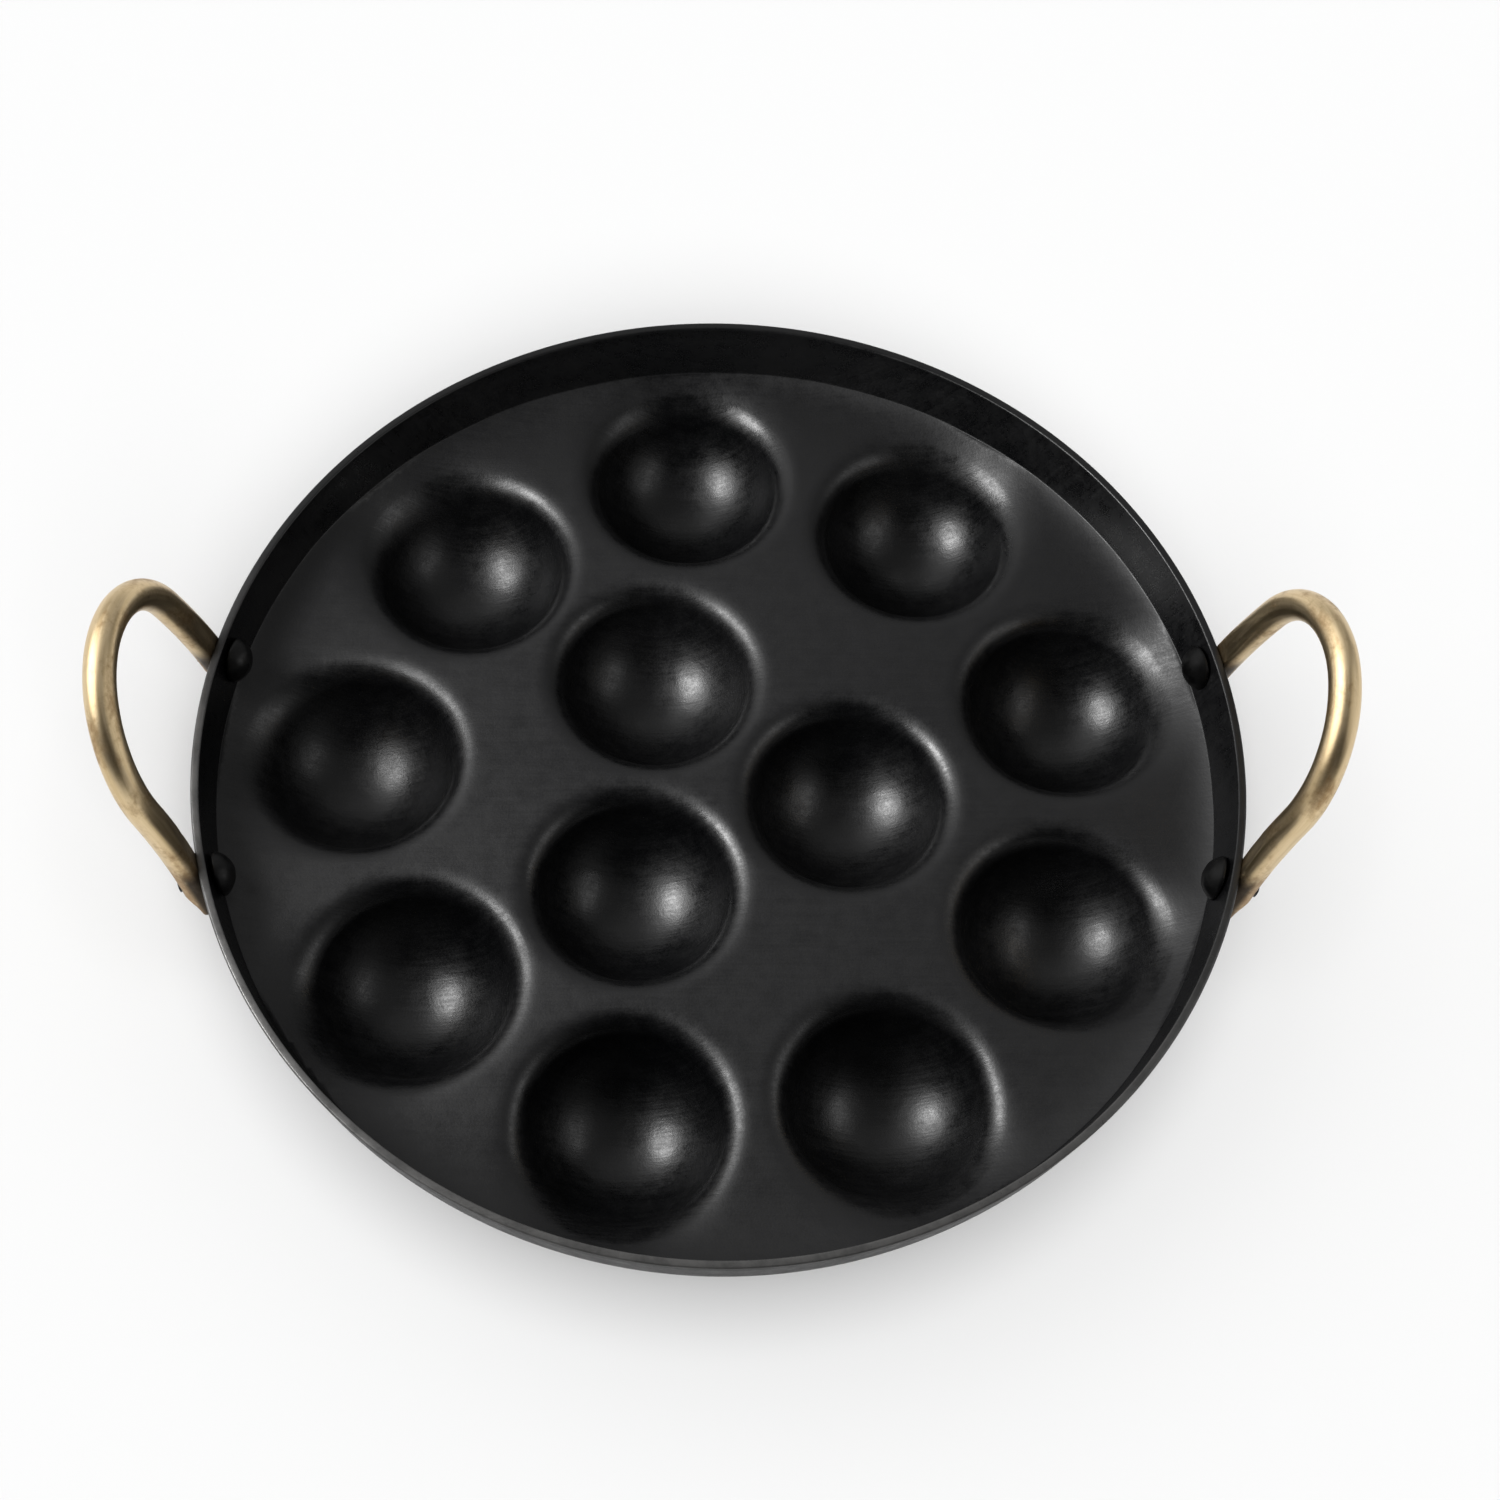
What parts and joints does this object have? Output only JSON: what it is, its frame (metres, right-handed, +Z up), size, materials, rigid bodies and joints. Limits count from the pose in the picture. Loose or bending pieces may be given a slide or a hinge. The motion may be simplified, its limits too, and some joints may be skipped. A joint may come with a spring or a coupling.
{
  "type": "paniyaram pan",
  "caption": "Round black pressed-iron pan with hemispherical pits for dumplings, a low flared wall and two riveted brass loop handles.",
  "frame": {"origin": "on the axis of the wall's circle, in the plane of the pit bottoms that the pan stands on", "axes": "+X from the left handle to the right handle, +Z up out of the pan, +Y to the back of the picture"},
  "size_m": [0.2828, 0.25, 0.0903],
  "materials": {
    "seasoned_iron": "seasoned black iron, satin, with a fine rolled grain and faint mottling",
    "rivet_iron": "blackened iron, satin, with hammer marks",
    "aged_brass": "polished brass gone slightly dull, satin to bright, with brown patches"
  },
  "bodies": {
    "root": {"pan_body": "seasoned_iron", "handle_left": "aged_brass", "handle_right": "aged_brass", "rivet_left_back": "rivet_iron", "rivet_left_front": "rivet_iron", "rivet_right_back": "rivet_iron", "rivet_right_front": "rivet_iron"}
  },
  "joints": []
}
